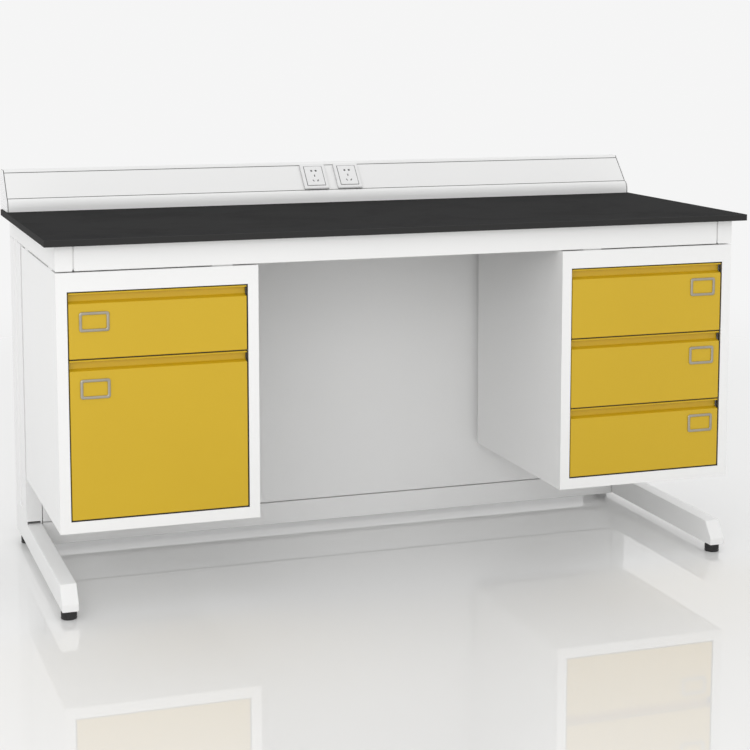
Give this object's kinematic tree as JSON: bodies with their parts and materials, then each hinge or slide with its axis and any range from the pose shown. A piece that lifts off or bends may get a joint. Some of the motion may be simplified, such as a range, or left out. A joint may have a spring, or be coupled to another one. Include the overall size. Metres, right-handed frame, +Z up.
{
  "type": "teacher desk",
  "caption": "Demonstration desk: resin worktop on cantilever steel frames, with hanging drawer pedestals, rear panel and a sloped socket trunking along its back edge.",
  "frame": {"origin": "on the floor, under the middle of the desk's bounding box", "axes": "+X along the worktop to the right for someone facing the drawers, +Y from the drawer fronts to the rear trunking, +Z up"},
  "size_m": [1.8, 0.8, 1.0038],
  "materials": {
    "white_steel": "fine-textured white epoxy powder coat on folded and tubular steel",
    "black_resin": "matt black solid phenolic resin board with a fine leathery texture and cut edges a little lighter",
    "yellow_steel": "smooth satin mustard-yellow powder coat on folded sheet steel",
    "zinc_steel": "bright zinc-plated rolled steel, lightly greased",
    "grey_steel": "light grey powder coat on the drawer boxes",
    "nickel_plate": "satin nickel-plated pressed steel",
    "white_plastic": "semi-gloss white moulded plastic",
    "black_plastic": "matt black moulded nylon"
  },
  "bodies": {
    "frame": {"worktop": "black_resin", "left_foot": "white_steel", "right_foot": "white_steel", "left_column": "white_steel", "right_column": "white_steel", "left_arm": "white_steel", "right_arm": "white_steel", "front_rail": "white_steel", "rear_rail": "white_steel", "lower_beam": "white_steel", "rear_panel": "white_steel", "service_cover": "white_steel", "mains_gland": "black_plastic", "left_pedestal": "white_steel", "right_pedestal": "white_steel", "trunking_housing": "white_steel", "trunking_cover": "white_steel", "left_end_cap": "white_plastic", "right_end_cap": "white_plastic", "left_socket": "white_plastic", "right_socket": "white_plastic", "left_drawer_1_left_slide_fixed": "zinc_steel", "left_drawer_1_right_slide_fixed": "zinc_steel", "left_drawer_2_left_slide_fixed": "zinc_steel", "left_drawer_2_right_slide_fixed": "zinc_steel", "right_drawer_1_left_slide_fixed": "zinc_steel", "right_drawer_1_right_slide_fixed": "zinc_steel", "right_drawer_2_left_slide_fixed": "zinc_steel", "right_drawer_2_right_slide_fixed": "zinc_steel", "right_drawer_3_left_slide_fixed": "zinc_steel", "right_drawer_3_right_slide_fixed": "zinc_steel"},
    "left_drawer_1": {"left_drawer_1_front": "yellow_steel", "left_drawer_1_box": "grey_steel", "left_drawer_1_card_holder": "nickel_plate"},
    "left_drawer_1_slides": {"left_drawer_1_left_slide_middle": "zinc_steel", "left_drawer_1_right_slide_middle": "zinc_steel"},
    "left_drawer_2": {"left_drawer_2_front": "yellow_steel", "left_drawer_2_box": "grey_steel", "left_drawer_2_card_holder": "nickel_plate"},
    "left_drawer_2_slides": {"left_drawer_2_left_slide_middle": "zinc_steel", "left_drawer_2_right_slide_middle": "zinc_steel"},
    "right_drawer_1": {"right_drawer_1_front": "yellow_steel", "right_drawer_1_box": "grey_steel", "right_drawer_1_card_holder": "nickel_plate"},
    "right_drawer_1_slides": {"right_drawer_1_left_slide_middle": "zinc_steel", "right_drawer_1_right_slide_middle": "zinc_steel"},
    "right_drawer_2": {"right_drawer_2_front": "yellow_steel", "right_drawer_2_box": "grey_steel", "right_drawer_2_card_holder": "nickel_plate"},
    "right_drawer_2_slides": {"right_drawer_2_left_slide_middle": "zinc_steel", "right_drawer_2_right_slide_middle": "zinc_steel"},
    "right_drawer_3": {"right_drawer_3_front": "yellow_steel", "right_drawer_3_box": "grey_steel", "right_drawer_3_card_holder": "nickel_plate"},
    "right_drawer_3_slides": {"right_drawer_3_left_slide_middle": "zinc_steel", "right_drawer_3_right_slide_middle": "zinc_steel"},
    "left_front_leveller": {"left_front_leveller": "black_plastic"},
    "left_rear_leveller": {"left_rear_leveller": "black_plastic"},
    "right_front_leveller": {"right_front_leveller": "black_plastic"},
    "right_rear_leveller": {"right_rear_leveller": "black_plastic"}
  },
  "joints": [
    {"name": "left_drawer_1_slide", "type": "slide", "parent": "frame", "child": "left_drawer_1", "axis": [0, -1, 0], "range_m": [0, 0.45]},
    {"name": "left_drawer_1_middle_members", "type": "slide", "parent": "frame", "child": "left_drawer_1_slides", "axis": [0, -1, 0], "range_m": [0, 0.225]},
    {"name": "left_drawer_2_slide", "type": "slide", "parent": "frame", "child": "left_drawer_2", "axis": [0, -1, 0], "range_m": [0, 0.45]},
    {"name": "left_drawer_2_middle_members", "type": "slide", "parent": "frame", "child": "left_drawer_2_slides", "axis": [0, -1, 0], "range_m": [0, 0.225]},
    {"name": "right_drawer_1_slide", "type": "slide", "parent": "frame", "child": "right_drawer_1", "axis": [0, -1, 0], "range_m": [0, 0.45]},
    {"name": "right_drawer_1_middle_members", "type": "slide", "parent": "frame", "child": "right_drawer_1_slides", "axis": [0, -1, 0], "range_m": [0, 0.225]},
    {"name": "right_drawer_2_slide", "type": "slide", "parent": "frame", "child": "right_drawer_2", "axis": [0, -1, 0], "range_m": [0, 0.45]},
    {"name": "right_drawer_2_middle_members", "type": "slide", "parent": "frame", "child": "right_drawer_2_slides", "axis": [0, -1, 0], "range_m": [0, 0.225]},
    {"name": "right_drawer_3_slide", "type": "slide", "parent": "frame", "child": "right_drawer_3", "axis": [0, -1, 0], "range_m": [0, 0.45]},
    {"name": "right_drawer_3_middle_members", "type": "slide", "parent": "frame", "child": "right_drawer_3_slides", "axis": [0, -1, 0], "range_m": [0, 0.225]},
    {"name": "left_front_leveller_turn", "type": "hinge", "parent": "frame", "child": "left_front_leveller", "pos_m": [-0.852, -0.342, 0], "axis": [0, 0, 1], "continuous": true},
    {"name": "left_rear_leveller_turn", "type": "hinge", "parent": "frame", "child": "left_rear_leveller", "pos_m": [-0.852, 0.325, 0], "axis": [0, 0, 1], "continuous": true},
    {"name": "right_front_leveller_turn", "type": "hinge", "parent": "frame", "child": "right_front_leveller", "pos_m": [0.852, -0.342, 0], "axis": [0, 0, 1], "continuous": true},
    {"name": "right_rear_leveller_turn", "type": "hinge", "parent": "frame", "child": "right_rear_leveller", "pos_m": [0.852, 0.325, 0], "axis": [0, 0, 1], "continuous": true}
  ],
  "couplings": [
    {"joint": "left_drawer_1_middle_members", "follows": "left_drawer_1_slide", "ratio": 0.5},
    {"joint": "left_drawer_2_middle_members", "follows": "left_drawer_2_slide", "ratio": 0.5},
    {"joint": "right_drawer_1_middle_members", "follows": "right_drawer_1_slide", "ratio": 0.5},
    {"joint": "right_drawer_2_middle_members", "follows": "right_drawer_2_slide", "ratio": 0.5},
    {"joint": "right_drawer_3_middle_members", "follows": "right_drawer_3_slide", "ratio": 0.5}
  ]
}
